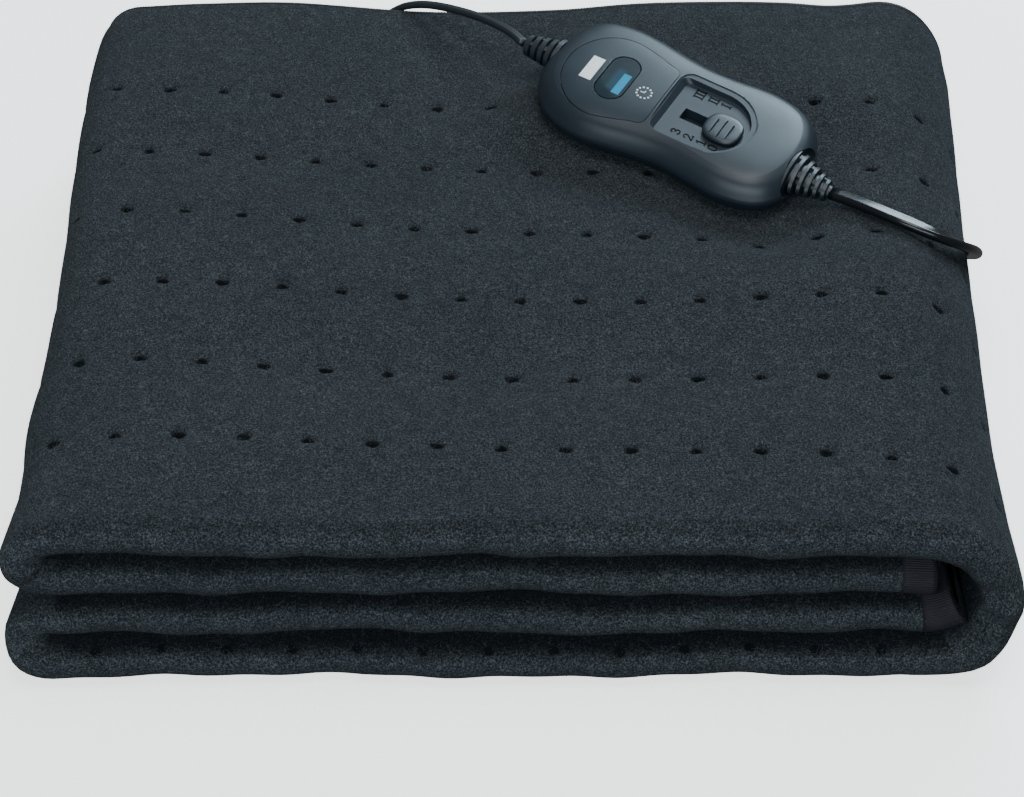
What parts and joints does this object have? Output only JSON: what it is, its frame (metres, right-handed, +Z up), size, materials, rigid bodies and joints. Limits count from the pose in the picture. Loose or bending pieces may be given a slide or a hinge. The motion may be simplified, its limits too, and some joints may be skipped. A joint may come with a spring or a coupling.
{
  "type": "electric heated blanket",
  "caption": "Folded electric heated blanket of thick spot-welded fleece, with its slide-switch controller lying on it, the leads and a flat two-pin plug.",
  "frame": {"origin": "middle of the folded blanket's footprint, on the surface it lies on", "axes": "+Z up, +X along the rounded front edge with the layers' wrap on the +X side, +Y towards the open overlocked edge that the blanket lead enters"},
  "size_m": [0.4067, 0.4992, 0.0992],
  "materials": {
    "fleece": "matte fleece",
    "shell_plastic": "satin moulded",
    "panel_plastic": "satin moulded",
    "window_plastic": "clear tinted, gloss",
    "knob_plastic": "satin moulded",
    "relief_rubber": "satin",
    "cable_black": "gloss sheath",
    "plug_black": "moulded",
    "pin_metal": "nickel plated"
  },
  "bodies": {
    "folded_blanket": {"blanket": "fleece", "controller_lower_shell": "shell_plastic", "controller_upper_shell": "shell_plastic", "controller_face_panel": "panel_plastic", "controller_window": "window_plastic", "relief_left": "relief_rubber", "relief_right": "relief_rubber", "blanket_lead": "cable_black", "mains_lead": "cable_black", "plug_tail": "cable_black", "mains_coil": "cable_black", "coil_tie": "relief_rubber", "plug_body": "plug_black", "plug_pin_near": "pin_metal", "plug_pin_far": "pin_metal"},
    "switch_knob": {"slider_knob": "knob_plastic"}
  },
  "joints": [
    {"name": "switch_slide", "type": "slide", "parent": "folded_blanket", "child": "switch_knob", "axis": [-0.8018, 0.5918, 0.0832], "range_m": [0, 0.019]}
  ]
}
